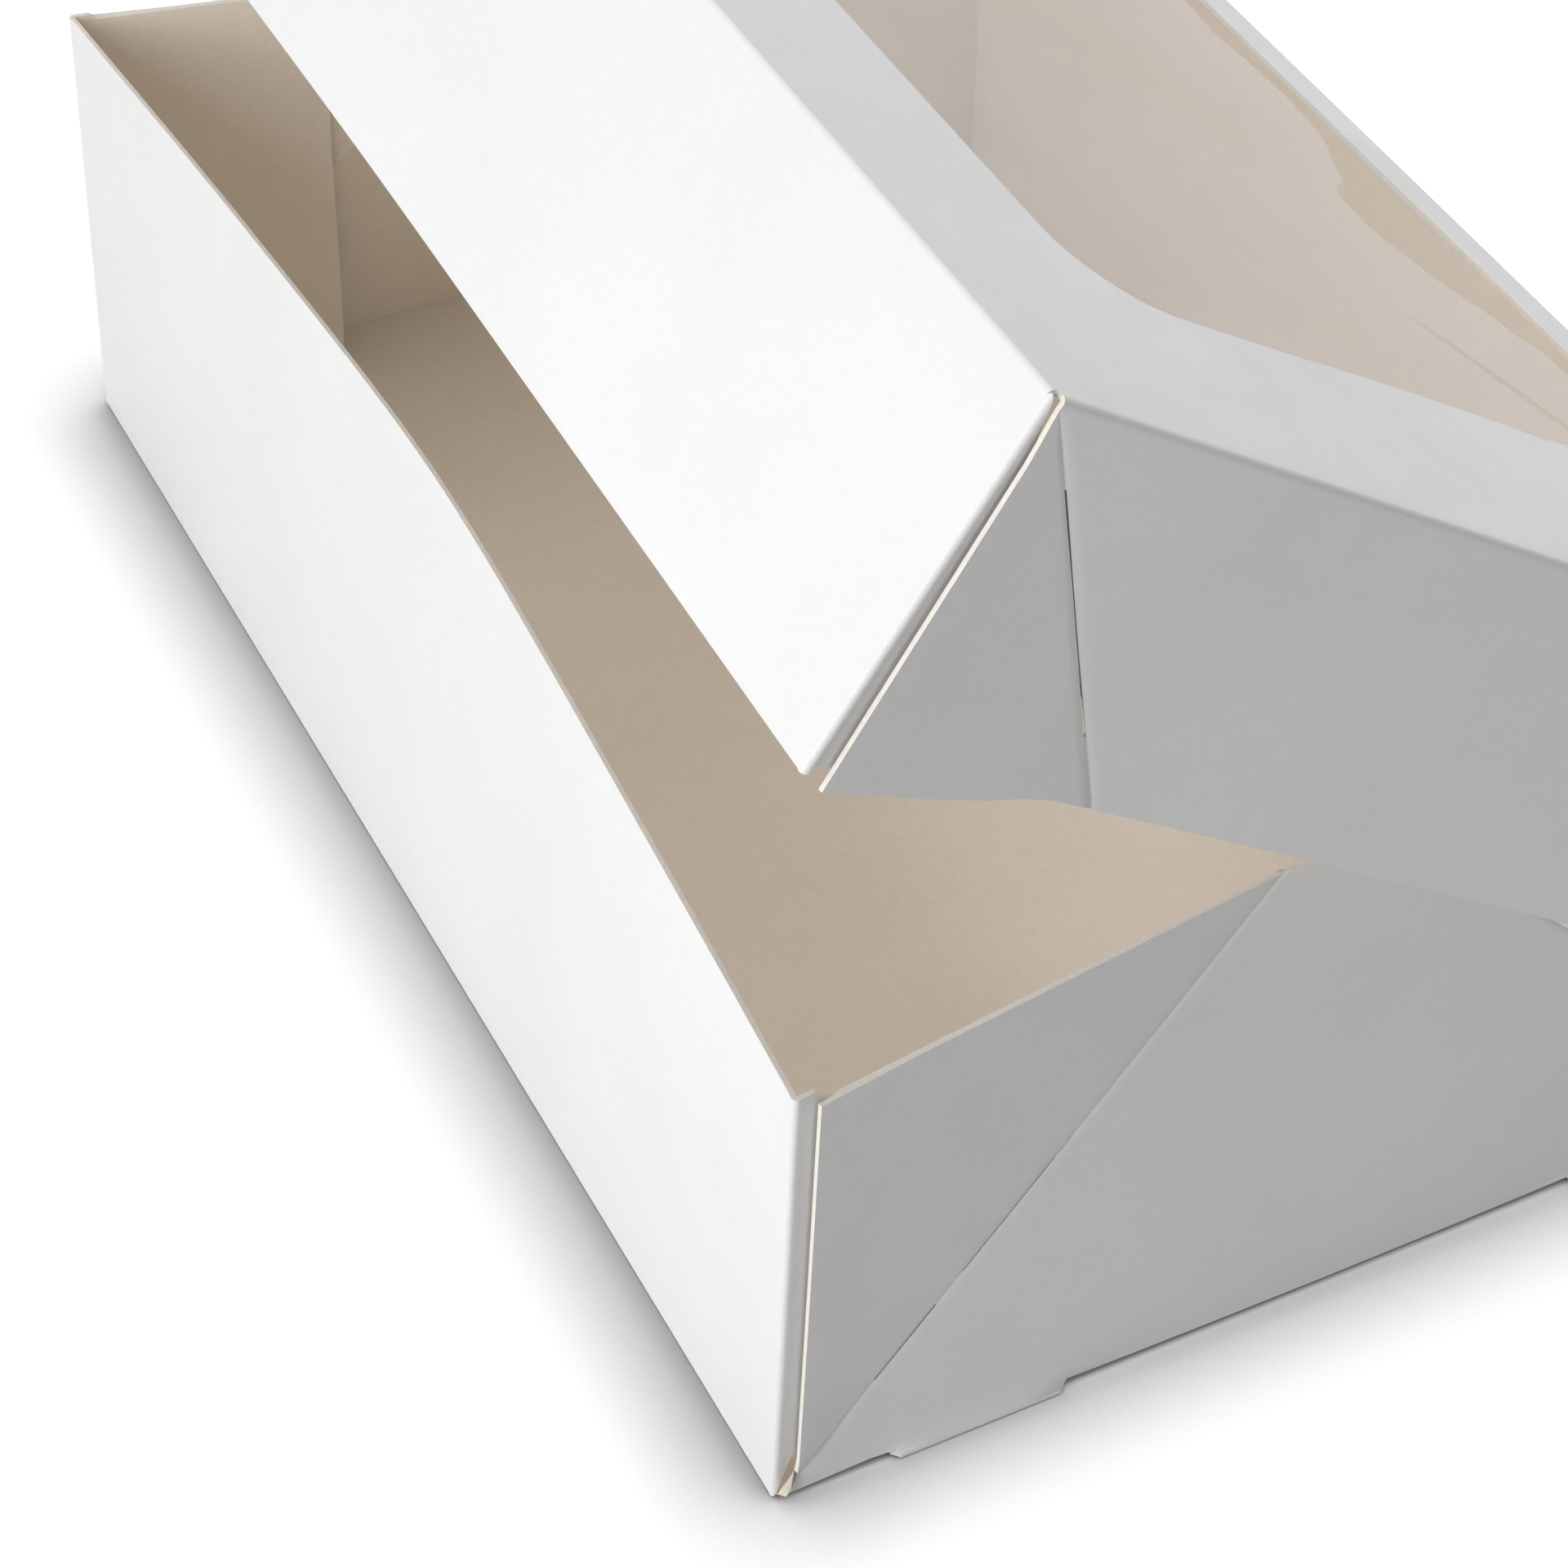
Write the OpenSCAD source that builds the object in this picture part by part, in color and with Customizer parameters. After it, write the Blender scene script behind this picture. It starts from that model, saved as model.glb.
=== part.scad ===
// Pre-glued pop-up cupcake box of white-faced board. The base tray has corners
// that fold inwards along diagonal creases, so all four walls lean in a little.
// The window lid turns about the top fold of the rear wall and has the same
// folded corners at its front. A clear film is glued under its window.
// The origin is the middle of the underside. X runs along the front, Y to the
// rear and Z up. The lid is shown standing partly open.

/* [Board] */
// Thickness of the folding board
board_t = 0.65; // [0.5:0.05:0.8]
// Outer radius of a folded edge
fold_r = 1; // [0.9:0.05:1.3]

/* [Base] */
// Width over the end folds of the front wall
base_w = 250; // [200:1:330]
// Depth from the front wall to the rear wall
base_d = 165; // [154:1:230]
// Height of the front and rear walls
base_h = 75; // [62:1:76]
// How much less board stands in the side walls
side_drop = 1; // [0.5:0.1:3]
// Inward lean of the right wall
right_lean = 7.2; // [6.5:0.1:12]
// Inward lean of the left wall
left_lean = 11.2; // [6.5:0.1:13]
// How far the middle of the front wall's top edge is bowed in
front_bow = 9.4; // [6:0.1:12]
// How far the ends of that edge stand in
front_toe = 2.3; // [1:0.1:4]
// Length of the glue tabs inside the side walls
base_tab = 41.5; // [25:0.5:55]
// Creased stretch of a side wall's bottom fold, from the corner
crease_from = 18.3; // [12:0.1:24]
// Length of that stretch, the rest of the fold being slit
crease_len = 24.2; // [15:0.1:30]

/* [Lid] */
// Angle at which the lid stands open
lid_open = 35; // [10:1:90]
// How far the lid's front fold reaches beyond the base
lid_reach = 1.3; // [1.2:0.1:4]
// How far the lid's side folds stand out from the base's end folds
lid_over = 2.9; // [2.9:0.1:5]
// Height of the closed lid's top above the rear wall
lid_rise = 1; // [0.95:0.05:2]
// Depth of the lid's front flap
front_flap = 50.2; // [30:0.1:58]
// Depth of the lid's side flaps
side_flap = 48.2; // [28:0.1:56]
// How far the middle of the front flap's lower edge is bowed in
flap_bow = 2.9; // [1.2:0.1:3]
// How far the ends of that edge stand in
flap_toe = 1; // [0:0.1:1.1]
// Inward lean of the side flaps
flap_lean = 4.3; // [1:0.1:4.4]
// Length of the glue tabs inside the side flaps
lid_tab = 34; // [20:0.5:45]

/* [Window] */
// Board in front of the window
window_front = 31; // [20:0.5:45]
// Board beside the window
window_side = 34; // [20:0.5:50]
// Board behind the window, measured from the hinge
window_rear = 9.5; // [8:0.5:30]
// Radius of the window's front corners
window_front_r = 13; // [5:1:20]
// Radius of the window's rear corners
window_rear_r = 50; // [20:1:52]
// Thickness of the clear film
film_t = 0.15; // [0.1:0.05:0.3]
// Width of the film's glued rim
film_lap = 6; // [4:0.5:7]

/* [Hidden] */

board_white = [0.95, 0.95, 0.94];
film_clear = [0.85, 0.86, 0.88, 0.35];

// Thickness of the glue between a tab and the corner triangle outside it
glue = 0.05;
// Length by which a fold runs on into the flat board
fold_lap = 1.5;
fold_steps = 4;
wall_steps = 32;
// Width over which a bowed edge turns in its middle
bow_turn = 25;
// Height of a slit edge above the end of the fold beside it
slit_rise = 0.05;
// Set-back of a side wall's free edge from the corner, and its cut at the foot
edge_set = 3.5;
edge_cut = 3.8;
edge_drop = 0.6;
// Lower edge of a glue tab: distance from the corner and height
tab_foot = [[1.1, 1.7], [2.7, 7.2], [8, 7]];
tab_foot_end = 4.5;
// Where the top edge of a base tab steps down behind the side wall's board
tab_step = [3.2, 4.2];
tab_sink = 1.4;
// How much shorter the lid's tabs are than its front flap
tab_short = 1.4;
// Free front edge of a lid side flap and the nose at its lower end
flap_set_top = 1.8;
flap_set_low = 3.5;
nose_depth = 3.2;
nose_gap = 10;
// Free rear edge of a lid side flap, as distances from the hinge
flap_rear_top = 2;
flap_rear_low = 23;
// Gap at the hinge, taken up by the crease
hinge_gap = 0.8;

side_h = base_h - side_drop;
side_x = base_w / 2 + board_t;
lid_l = base_d + lid_reach;
lid_x = base_w / 2 + lid_over;
crease_to = crease_from + crease_len;
window_half = lid_x - window_side;

function unit(p) = p / norm(p);
function lerp(a, b, u) = a + (b - a) * u;
function soft(x) = sqrt(x * x + bow_turn * bow_turn) - bow_turn;
// Inward shift of a bowed edge at x, from full in its middle to toe at its ends
function bow_at(x, half, full, toe) = full - (full - toe) * soft(x) / soft(half);

// Outer face of a leaning side wall: p is [distance along the fold, height up the
// board]. In front of the diagonal crease the board turns into a corner triangle,
// which stays with the edge of the front wall and shares that wall's lean.
function main_at(x, lean, p) = [x - p[1] * sin(lean), p[0], p[1] * cos(lean)];
function corner_at(x, lean, tilt, p) = let (q = p[1] - p[0])
    [x - p[0] * sin(lean), p[0] + q * tilt, p[0] * cos(lean) + q * sqrt(1 - tilt * tilt)];
function main_normal(lean) = [cos(lean), 0, sin(lean)];
function corner_normal(lean, tilt) =
    unit(cross(corner_at(0, lean, tilt, [1, 0]), corner_at(0, lean, tilt, [0, 1])));
// Step from an outer to an inner face on one panel, and where two panels meet
function inward(n) = -board_t * n;
function mitre(n, m) = -board_t * (n + m) / (1 + n * m);
// Height up a leaning wall at which the fold at its foot ends
function fold_end(lean) = fold_r * tan(45 + lean / 2);
function to_rear(p) = [p[0], base_d - p[1], p[2]];
function flip(n) = [n[0], -n[1], n[2]];

// Board between outer points and the same points moved inwards. Panels are lists
// of point numbers, clockwise from outside, and rim goes round the free edge.
module folded_board(outer, steps, panels, rim) {
    n = len(outer);
    m = len(rim);
    polyhedron(
        points = concat(outer, outer + steps),
        faces = concat(
            panels,
            [for (p = panels) [for (i = [len(p) - 1 : -1 : 0]) p[i] + n]],
            [for (i = [0 : m - 1]) let (a = rim[i], b = rim[(i + 1) % m]) [b, a, a + n, b + n]]),
        convexity = 6);
}

// A wall folded up from flat board, as a row of stations. Each one is [outer point
// at the fold, outer point at full height, outward direction, lowest height,
// highest height, whether the fold is there].
module folded_wall(stations, height) {
    n = len(stations);
    rows = fold_steps + 3;
    function inside(s, z, depth) = lerp(s[0], s[1], z / height) - s[2] * depth;
    function folded_point(s, k, depth) = let (a = 90 * (k - 1) / fold_steps, r = fold_r - depth)
        k == 0 ? concat(inside(s, 0, fold_r + fold_lap), [depth]) :
        k == rows - 1 ? concat(inside(s, s[4], depth), [s[4]]) :
        concat(inside(s, fold_r, fold_r - r * sin(a)), [fold_r - r * cos(a)]);
    function free_point(s, k, depth) = let (z = lerp(s[3], s[4], k / (rows - 1)))
        concat(inside(s, z, depth), [z]);
    function point(s, k, depth) = s[5] ? folded_point(s, k, depth) : free_point(s, k, depth);
    function id(i, k, side) = (side * n + i) * rows + k;
    // Two triangles for a cell whose corners are named anticlockwise from outside
    function cell(a, b, c, d) = [[a, c, b], [a, d, c]];
    polyhedron(
        points = [for (side = [0, 1]) for (s = stations) for (k = [0 : rows - 1])
            point(s, k, side * board_t)],
        faces = concat(
            [for (i = [0 : n - 2]) for (k = [0 : rows - 2]) for (f = concat(
                cell(id(i, k, 0), id(i, k + 1, 0), id(i + 1, k + 1, 0), id(i + 1, k, 0)),
                cell(id(i, k, 1), id(i + 1, k, 1), id(i + 1, k + 1, 1), id(i, k + 1, 1)))) f],
            [for (i = [0 : n - 2]) for (f = concat(
                cell(id(i, 0, 0), id(i + 1, 0, 0), id(i + 1, 0, 1), id(i, 0, 1)),
                cell(id(i, rows - 1, 0), id(i, rows - 1, 1),
                    id(i + 1, rows - 1, 1), id(i + 1, rows - 1, 0)))) f],
            [for (k = [0 : rows - 2]) for (f = concat(
                cell(id(0, k, 0), id(0, k, 1), id(0, k + 1, 1), id(0, k + 1, 0)),
                cell(id(n - 1, k, 0), id(n - 1, k + 1, 0),
                    id(n - 1, k + 1, 1), id(n - 1, k, 1)))) f]),
        convexity = 10);
}

// Height of a glue tab's lower edge at u from the corner
function tab_low(u, tab) = lookup(u, concat(tab_foot, [[tab, tab_foot_end]]));

// Stations of a glue tab and the corner fold before it, on the right side. They
// run from the tab's end to the corner. The top edge stands at top[1] next to the
// corner and at top[0] beyond the step.
function tab_stations(half, h, lean, full, toe, tab, top) =
    let (tilt = toe / h, d = unit([1 - tilt, sin(lean)]), in = [0, toe],
        cuts = [tab, tab_foot[2][0], tab_step[1], tab_step[0], tab_foot[1][0], tab_foot[0][0]],
        c = [half - glue - fold_r, fold_r])
    concat(
        [for (u = cuts) let (f = [half - glue - u * sin(lean), u * (1 - tilt)])
            [f, f + in, d, tab_low(u, tab), u > tab_step[0] ? top[0] : top[1], false]],
        [for (k = [1 : fold_steps]) let (a = 90 * k / fold_steps, e = [cos(a), -sin(a)],
                f = c + fold_r * e)
            [f, f + in, e, tab_foot[0][1], top[1], false]]);

function mirrored(stations) = [for (i = [len(stations) - 1 : -1 : 0]) let (s = stations[i])
    [[-s[0][0], s[0][1]], [-s[1][0], s[1][1]], [-s[2][0], s[2][1]], s[3], s[4], s[5]]];

// A front or rear wall with its two glue tabs. The fold is along X at the origin,
// Y points into the tray and Z up the wall.
module end_wall(half, h, right, left, full, toe, tab, tab_top) {
    reach = half - 2 * fold_r;
    wall = [for (i = [0 : wall_steps]) let (x = reach * (1 - 2 * i / wall_steps))
        [[x, 0], [x, bow_at(x, half, full, toe)], [0, -1], 0, h, true]];
    folded_wall(concat(
        tab_stations(half, h, right, full, toe, tab, tab_top),
        wall,
        mirrored(tab_stations(half, h, left, full, toe, tab, tab_top))), h);
}

// The folded strip that joins a side wall to the flat board, right side
module side_fold(x, lean, from, to) {
    function arc(r, k) = let (a = (90 + lean) * k / fold_steps)
        [x - fold_end(lean) + r * sin(a), fold_r - r * cos(a)];
    function up(depth) = let (v = fold_r + fold_lap)
        [x - v * sin(lean) - depth * cos(lean), v * cos(lean) - depth * sin(lean)];
    lap = x - fold_r - fold_lap;
    translate([0, to, 0])
        rotate([90, 0, 0])
            linear_extrude(to - from)
                polygon(concat(
                    [[lap, 0]],
                    [for (k = [0 : fold_steps]) arc(fold_r, k)],
                    [up(0), up(board_t)],
                    [for (k = [fold_steps : -1 : 0]) arc(fold_r - board_t, k)],
                    [[lap, board_t]]));
}

// Right side wall of the base, in the base's frame with Y from the front fold
module base_side(lean) {
    tilt = front_toe / base_h;
    n = main_normal(lean);
    front = corner_normal(lean, tilt);
    rear = flip(corner_normal(lean, 0));
    free_edge = [[edge_set, edge_cut], [edge_set, side_h - edge_drop]];
    low = fold_end(lean) + slit_rise;
    outer = [
        main_at(side_x, lean, [low, low]),
        corner_at(side_x, lean, tilt, free_edge[0]),
        corner_at(side_x, lean, tilt, free_edge[1]),
        main_at(side_x, lean, [side_h, side_h]),
        main_at(side_x, lean, [base_d - side_h, side_h]),
        to_rear(corner_at(side_x, lean, 0, free_edge[1])),
        to_rear(corner_at(side_x, lean, 0, free_edge[0])),
        main_at(side_x, lean, [base_d - low, low])];
    steps = [mitre(n, front), inward(front), inward(front), mitre(n, front),
        mitre(n, rear), inward(rear), inward(rear), mitre(n, rear)];
    folded_board(outer, steps, [[0, 1, 2, 3], [0, 3, 4, 7], [4, 5, 6, 7]], [for (i = [0 : 7]) i]);
    side_fold(side_x, lean, crease_from, crease_to);
    side_fold(side_x, lean, base_d - crease_to, base_d - crease_from);
}

// Right side flap of the lid, in the lid's frame with Y from the front fold
module lid_side() {
    tilt = flap_toe / front_flap;
    n = main_normal(flap_lean);
    front = corner_normal(flap_lean, tilt);
    top = fold_end(flap_lean) + slit_rise;
    start = flap_set_top + slit_rise;
    outer = [
        main_at(lid_x, flap_lean, [flap_set_top, top]),
        main_at(lid_x, flap_lean, [start, start]),
        corner_at(lid_x, flap_lean, tilt, [flap_set_low, side_flap + nose_depth]),
        corner_at(lid_x, flap_lean, tilt, [side_flap - nose_gap, side_flap]),
        main_at(lid_x, flap_lean, [side_flap, side_flap]),
        main_at(lid_x, flap_lean, [lid_l - flap_rear_low, side_flap]),
        main_at(lid_x, flap_lean, [lid_l - flap_rear_top, top])];
    steps = [inward(n), mitre(n, front), inward(front), inward(front), mitre(n, front),
        inward(n), inward(n)];
    folded_board(outer, steps, [[0, 1, 4, 5, 6], [1, 2, 3, 4]], [for (i = [0 : 6]) i]);
    side_fold(lid_x, flap_lean, flap_set_top, lid_l - flap_rear_top);
}

module base_tray() {
    color(board_white) translate([0, -base_d / 2, 0]) {
        translate([-side_x + fold_r, fold_r, 0])
            cube([2 * (side_x - fold_r), base_d - 2 * fold_r, board_t]);
        end_wall(base_w / 2, base_h, right_lean, left_lean, front_bow, front_toe, base_tab,
            [side_h - tab_sink, base_h]);
        translate([0, base_d, 0]) mirror([0, 1, 0])
            end_wall(base_w / 2, base_h, right_lean, left_lean, 0, 0, base_tab,
                [side_h - tab_sink, base_h]);
        base_side(right_lean);
        mirror([1, 0, 0]) base_side(left_lean);
    }
}

// Window outline with the hinge along X and Y pointing to the front
module window_shape(grow) {
    front = lid_l - window_front;
    module corner(x, y, r) translate([x - sign(x) * r, y]) circle(r + grow);
    module half_row(y, r) {
        corner(-window_half, y, r);
        corner(window_half, y, r);
    }
    translate([-window_half - grow, window_rear + window_rear_r])
        square([2 * (window_half + grow), front - window_front_r - window_rear - window_rear_r]);
    translate([-window_half + window_front_r, front - window_front_r])
        square([2 * (window_half - window_front_r), window_front_r + grow]);
    translate([-window_half + window_rear_r, window_rear - grow])
        square([2 * (window_half - window_rear_r), window_rear_r + 2 * grow]);
    half_row(front - window_front_r, window_front_r);
    half_row(window_rear + window_rear_r, window_rear_r);
}

// Places what is modelled with the closed lid's top in the plane Z = 0, the hinge
// along X at Y = 0, and the flaps standing in +Z
module hinged() {
    translate([0, base_d / 2, base_h])
        rotate([-lid_open, 0, 0])
            translate([0, 0, lid_rise])
                rotate([180, 0, 0])
                    children();
}

module lid() {
    color(board_white) hinged() {
        difference() {
            translate([-lid_x + fold_r, hinge_gap, 0])
                cube([2 * (lid_x - fold_r), lid_l - fold_r - hinge_gap, board_t]);
            translate([0, 0, -1]) linear_extrude(board_t + 2) window_shape(0);
        }
        translate([0, lid_l, 0]) mirror([0, 1, 0]) {
            end_wall(lid_x - board_t, front_flap, flap_lean, flap_lean, flap_bow, flap_toe, lid_tab,
                [front_flap - tab_short, front_flap - tab_short]);
            lid_side();
            mirror([1, 0, 0]) lid_side();
        }
    }
}

module window_film() {
    color(film_clear) hinged()
        translate([-window_half - film_lap, window_rear - film_lap, board_t])
            cube([2 * (window_half + film_lap),
                lid_l - window_front - window_rear + 2 * film_lap, film_t]);
}

base_tray();
lid();
window_film();
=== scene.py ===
import math

import bmesh
import bpy
from mathutils import Matrix, Vector, geometry, noise


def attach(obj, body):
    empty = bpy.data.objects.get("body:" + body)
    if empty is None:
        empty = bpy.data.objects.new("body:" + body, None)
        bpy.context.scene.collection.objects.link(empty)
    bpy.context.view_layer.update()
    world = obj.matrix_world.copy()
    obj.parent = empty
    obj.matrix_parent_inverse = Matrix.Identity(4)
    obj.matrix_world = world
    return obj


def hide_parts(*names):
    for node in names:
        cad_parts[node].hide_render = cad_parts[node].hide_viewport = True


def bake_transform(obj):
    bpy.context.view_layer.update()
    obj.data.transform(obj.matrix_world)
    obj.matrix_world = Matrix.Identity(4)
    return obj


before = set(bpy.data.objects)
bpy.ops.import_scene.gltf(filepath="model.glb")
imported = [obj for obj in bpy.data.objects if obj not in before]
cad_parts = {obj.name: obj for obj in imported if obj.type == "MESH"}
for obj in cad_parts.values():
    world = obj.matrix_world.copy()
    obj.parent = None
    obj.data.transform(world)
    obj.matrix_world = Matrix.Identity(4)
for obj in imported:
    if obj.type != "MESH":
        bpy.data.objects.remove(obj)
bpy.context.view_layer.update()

scene = bpy.context.scene
scene.view_settings.view_transform = "Standard"
# The waves in the board come out alike at every run
noise.seed_set(4)

# Sizes in millimetres, in the same terms as the solids.
# Thickness of the board, outer radius of a fold, faces round a fold, and room for glue
BOARD = 0.65
FOLD = 0.8
ARC = 5
GLUE = 0.05

# Tray: from the front fold to the rear one, from the middle to an end fold, and height
DEPTH = 165.0
HALF = 125.0
HEIGHT = 75.0
# Side walls: outer face at the foot, height up the board, and the lean of each
SIDE_X = 125.65
SIDE_H = 74.0
RIGHT = math.radians(7.2)
LEFT = math.radians(11.2)
# How far the front wall's top edge stands in, in its middle and at its ends
BOW = 9.4
TOE = 2.3
# How far from its middle a bowed edge turns
BOW_TURN = 25
# Creased stretch of a side wall's bottom fold, from the corner. The rest is slit.
CREASED = (17.0, 42.5)
# Where the side folds begin, from the middle
SIDE_FOLD = 124.4
# Length of the tray's glue tabs
TAB = 41.5
# Height at which the rear wall's board passes into the hinge
REAR_TOP = 74.2

# Lid: how far open it stands, its length from the hinge, and half its width
OPEN = math.radians(35)
LID_L = 166.3
LID_X = 127.9
# Depth of the front flap and side flaps
FLAP = 50.2
SIDE_FLAP = 48.2
# How far the ends of the front flap stand in, and the lean of the side flaps
FLAP_TOE = 1.0
FLAP_LEAN = math.radians(4.3)
# Rear edge of a side flap: distance from the hinge at its top, and how much more below
FLAP_REAR = 2
FLAP_SLANT = 21

# Window: its front and rear edges from the hinge, half its width, and its corner radii
WINDOW_FRONT = 135.5
WINDOW_REAR = 10.3
WINDOW_HALF = 94.4
FRONT_RADIUS = 13
REAR_RADIUS = 43
# Film: its front and rear edges from the hinge, half its width, and its thickness
FILM_FRONT = 140.7
FILM_REAR = 5.1
FILM_HALF = 99.4
FILM = 0.12

# Height of the slight waves in the board, and the distances they spread over
WAVE = 0.1
TRAY_WAVE = 45
LID_WAVE = 50
# The lid is a hair narrower than the solid, and more so in the middle of its length
LID_FIT = 0.9998
LID_WAIST = 0.0055
# How far the free edge of a corner triangle is lifted off the glued tab
TRAY_LIFT = 0.42
LID_LIFT = 0.12
# Depth of the groove at a diagonal crease, and the share of it at the crease's edges
GROOVE = 0.18
GROOVE_EDGE = 0.6


def spread(a, b, n):
    """Numbers in n equal steps from a to b."""
    return [a + (b - a) * i / n for i in range(n + 1)]


def clamp(t):
    return min(1.0, max(0.0, t))


def smooth(t):
    """Eased step from nought to one."""
    t = clamp(t)
    return t * t * (3 - 2 * t)


def soft(x):
    """Distance from the middle, rounded where a bowed edge turns."""
    return math.sqrt(x * x + BOW_TURN * BOW_TURN) - BOW_TURN


def fold_end(lean):
    """How far a fold reaches from the corner between a flat panel and a leaning wall."""
    return FOLD * math.tan(math.pi / 4 + lean / 2)


def main_at(x, lean, u, v):
    """Outer face of a leaning side wall, u along its fold and v up the board."""
    return (x - v * math.sin(lean), u, v * math.cos(lean))


def corner_at(x, lean, tilt, u, v):
    """The same on a corner triangle, which tilts with the front wall."""
    up = math.sqrt(1 - tilt * tilt)
    return (x - u * math.sin(lean), u + (v - u) * tilt, u * math.cos(lean) + (v - u) * up)


def pressed(p, lean, depth):
    """Moved inwards, square to the wall."""
    return (p[0] - depth * math.cos(lean), p[1], p[2] - depth * math.sin(lean))


def lifted(p, lean, u, free, height, lift):
    """The triangle's free edge stands a little off the glued tab."""
    return pressed(p, lean, -lift * math.exp(-((u - free) / 5) ** 2) * smooth((height - 2.5) / 5))


def base_place(p):
    """From distance behind the front fold and height to the object's frame."""
    x, y, z = p
    for start, end in (CREASED, (DEPTH - CREASED[1], DEPTH - CREASED[0])):
        if start < y < end and abs(x) > SIDE_FOLD:
            # The creased stretches of the side folds are squashed and bulge outwards
            push = clamp(min(y - start, end - y)) * math.exp(-(z / 2.4) ** 2)
            push *= 0.3 if x < 0 else 0.75 + 0.35 * clamp((0.75 - z) / 0.6)
            x += math.copysign(push * smooth((abs(x) - SIDE_FOLD) / 0.6), x)
    wave = noise.noise_vector(Vector((x, y, z)) / TRAY_WAVE) * WAVE * smooth(z / 12)
    # A hair shallower, so that the waves stay within the solid's depth
    return Vector((x + wave.x, (y - DEPTH / 2) * 0.9985 + wave.y, z)) * 0.001


def lid_place(p):
    """The lid turned open: p is across, distance behind its front fold, depth below its top."""
    x, y, w = p
    s = LID_L - y
    x *= LID_FIT - LID_WAIST * math.sin(math.pi * clamp(s / LID_L))
    wave = noise.noise_vector(Vector((x, y, w)) / LID_WAVE + Vector((7, 3, 5))) * WAVE
    x += wave.x * 0.6
    s += wave.y - 0.3 * clamp(s / LID_L)
    n = 1 - w - wave.z * 0.6
    return Vector((x, DEPTH / 2 - s * math.cos(OPEN) + n * math.sin(OPEN),
                   HEIGHT + s * math.sin(OPEN) + n * math.cos(OPEN))) * 0.001


class Sheet:
    """Outer face of a folded sheet. It is thickened inwards when all of it is there."""

    def __init__(self, name, place, flipped=False):
        self.name = name
        self.place = place
        self.flipped = flipped
        self.bm = bmesh.new()
        self.known = {}

    def vert(self, p):
        """The vertex at p. Points less than a few microns apart share one."""
        key = tuple(round(c * 300) for c in p)
        if key not in self.known:
            self.known[key] = self.bm.verts.new(self.place(p))
        return self.known[key]

    def face(self, points, turned=False):
        verts = []
        for p in points:
            v = self.vert(p)
            if v not in verts:
                verts.append(v)
        if len(verts) < 3:
            return
        if turned != self.flipped:
            verts.reverse()
        if self.bm.faces.get(verts) is None:
            self.bm.faces.new(verts)

    def patch(self, rows, left=False, rear=False, skip=None):
        """Cells between rows of points, apart from those that skip(row, column) leaves out.

        Columns turned onto rows point outwards. The patch is mirrored to the left or rear.
        """
        def mirrored(p):
            return (-p[0] if left else p[0], DEPTH - p[1] if rear else p[1], p[2])
        for i in range(len(rows) - 1):
            for j in range(len(rows[i]) - 1):
                if skip and skip(i, j):
                    continue
                cell = (rows[i][j], rows[i][j + 1], rows[i + 1][j + 1], rows[i + 1][j])
                self.face([mirrored(p) for p in cell], left != rear)

    def finish(self, materials, thickness=BOARD, lined=True):
        """The thick sheet. A lined one has its own materials inside and at its edges."""
        bmesh.ops.remove_doubles(self.bm, verts=self.bm.verts, dist=2e-6)
        me = bpy.data.meshes.new(self.name)
        self.bm.to_mesh(me)
        self.bm.free()
        for m in materials:
            me.materials.append(m)
        ob = bpy.data.objects.new(self.name, me)
        scene.collection.objects.link(ob)
        solid = ob.modifiers.new("Thickness", "SOLIDIFY")
        solid.thickness = thickness * 0.001
        solid.offset = -1
        solid.use_even_offset = False
        if lined:
            solid.material_offset = 1
            solid.material_offset_rim = 2
        bpy.context.view_layer.update()
        depsgraph = bpy.context.evaluated_depsgraph_get()
        done = bpy.data.meshes.new_from_object(ob.evaluated_get(depsgraph))
        ob.modifiers.clear()
        ob.data = done
        done.name = self.name
        bpy.data.meshes.remove(me)
        for f in done.polygons:
            f.use_smooth = True
        done.set_sharp_from_angle(angle=math.radians(33))
        return ob


# Materials
def node_material(name):
    mat = bpy.data.materials.new(name)
    mat.use_nodes = True
    tree = mat.node_tree
    return mat, tree, tree.nodes["Principled BSDF"]


def add(tree, kind, inputs=None, **settings):
    node = tree.nodes.new(kind)
    for key, value in settings.items():
        setattr(node, key, value)
    for key, value in (inputs or {}).items():
        node.inputs[key].default_value = value
    return node


def noise_at(tree, coords, scale, detail, rough=0.5):
    node = add(tree, "ShaderNodeTexNoise", {"Scale": scale, "Detail": detail, "Roughness": rough})
    tree.links.new(coords.outputs["Object"], node.inputs["Vector"])
    return node.outputs["Fac"]


def ramp(tree, source, stops):
    node = add(tree, "ShaderNodeValToRGB")
    cr = node.color_ramp
    while len(cr.elements) < len(stops):
        cr.elements.new(0.5)
    for element, (place, colour) in zip(cr.elements, stops):
        element.position = place
        element.color = (*colour, 1)
    tree.links.new(source, node.inputs["Fac"])
    return node.outputs["Color"]


def between(tree, source, low, high):
    """A noise's usual range turned into low to high."""
    limits = {"From Min": 0.3, "From Max": 0.7, "To Min": low, "To Max": high}
    node = add(tree, "ShaderNodeMapRange", limits)
    tree.links.new(source, node.inputs["Value"])
    return node.outputs["Result"]


def multiplied(tree, factor, a, b):
    node = add(tree, "ShaderNodeMix", data_type="RGBA", blend_type="MULTIPLY")
    node.inputs["Factor"].default_value = factor
    tree.links.new(a, node.inputs["A"])
    tree.links.new(b, node.inputs["B"])
    return node.outputs["Result"]


def bump(tree, bsdf, height, distance, strength):
    node = add(tree, "ShaderNodeBump", {"Strength": strength, "Distance": distance})
    tree.links.new(height, node.inputs["Height"])
    tree.links.new(node.outputs["Normal"], bsdf.inputs["Normal"])


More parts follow.
